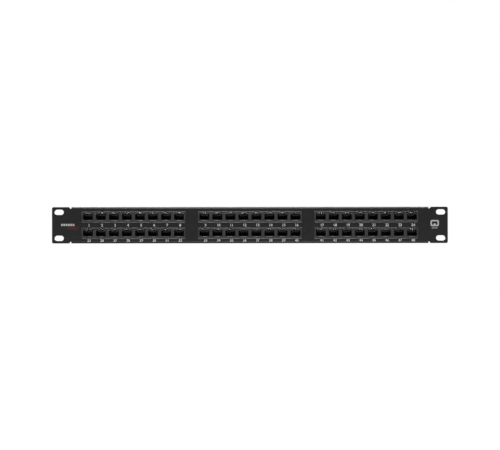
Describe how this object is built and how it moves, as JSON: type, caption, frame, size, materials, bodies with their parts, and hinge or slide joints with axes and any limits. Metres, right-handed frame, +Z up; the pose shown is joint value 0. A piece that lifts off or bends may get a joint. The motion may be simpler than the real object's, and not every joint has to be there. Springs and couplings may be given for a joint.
{
  "type": "patch panel",
  "caption": "Rack-mount network patch panel: folded steel front with two rows of modular sockets in three groups, circuit boards and punch-down wire strips behind.",
  "frame": {"origin": "centre of the four rack slots, on the back face of the ears, which is the plane that seats on the rack rails", "axes": "+X to the right seen from the front, along the panel; +Y backwards into the rack; +Z up; the front faces -Y"},
  "size_m": [0.4826, 0.031, 0.0444],
  "materials": {
    "powder_coated_steel": "fine-textured satin black powder coat",
    "black_plastic": "moulded, satin",
    "contact_carrier": "moulded carrier with gold-plated spring contacts",
    "strip_plastic": "moulded, fine texture",
    "board_laminate": "glass-epoxy laminate under green solder mask",
    "label_paper": "printed with coloured blocks",
    "plated_steel": "bright plated",
    "zinc_screw": "zinc plated"
  },
  "bodies": {
    "root": {"front_panel": "powder_coated_steel", "socket_housing_upper_left": "black_plastic", "contact_set_upper_left": "contact_carrier", "wiring_label_upper_left": "label_paper", "socket_housing_upper_centre": "black_plastic", "contact_set_upper_centre": "contact_carrier", "wiring_label_upper_centre": "label_paper", "socket_housing_upper_right": "black_plastic", "contact_set_upper_right": "contact_carrier", "wiring_label_upper_right": "label_paper", "socket_housing_lower_left": "black_plastic", "contact_set_lower_left": "contact_carrier", "wiring_label_lower_left": "label_paper", "socket_housing_lower_centre": "black_plastic", "contact_set_lower_centre": "contact_carrier", "wiring_label_lower_centre": "label_paper", "socket_housing_lower_right": "black_plastic", "contact_set_lower_right": "contact_carrier", "wiring_label_lower_right": "label_paper", "circuit_board_left": "board_laminate", "idc_strip_left_1": "strip_plastic", "standoff_left_1": "plated_steel", "board_screw_left_1": "zinc_screw", "idc_strip_left_2": "strip_plastic", "standoff_left_2": "plated_steel", "board_screw_left_2": "zinc_screw", "idc_strip_left_3": "strip_plastic", "standoff_left_3": "plated_steel", "board_screw_left_3": "zinc_screw", "idc_strip_left_4": "strip_plastic", "standoff_left_4": "plated_steel", "board_screw_left_4": "zinc_screw", "circuit_board_centre": "board_laminate", "idc_strip_centre_1": "strip_plastic", "standoff_centre_1": "plated_steel", "board_screw_centre_1": "zinc_screw", "idc_strip_centre_2": "strip_plastic", "standoff_centre_2": "plated_steel", "board_screw_centre_2": "zinc_screw", "idc_strip_centre_3": "strip_plastic", "standoff_centre_3": "plated_steel", "board_screw_centre_3": "zinc_screw", "idc_strip_centre_4": "strip_plastic", "standoff_centre_4": "plated_steel", "board_screw_centre_4": "zinc_screw", "circuit_board_right": "board_laminate", "idc_strip_right_1": "strip_plastic", "standoff_right_1": "plated_steel", "board_screw_right_1": "zinc_screw", "idc_strip_right_2": "strip_plastic", "standoff_right_2": "plated_steel", "board_screw_right_2": "zinc_screw", "idc_strip_right_3": "strip_plastic", "standoff_right_3": "plated_steel", "board_screw_right_3": "zinc_screw", "idc_strip_right_4": "strip_plastic", "standoff_right_4": "plated_steel", "board_screw_right_4": "zinc_screw"}
  },
  "joints": []
}
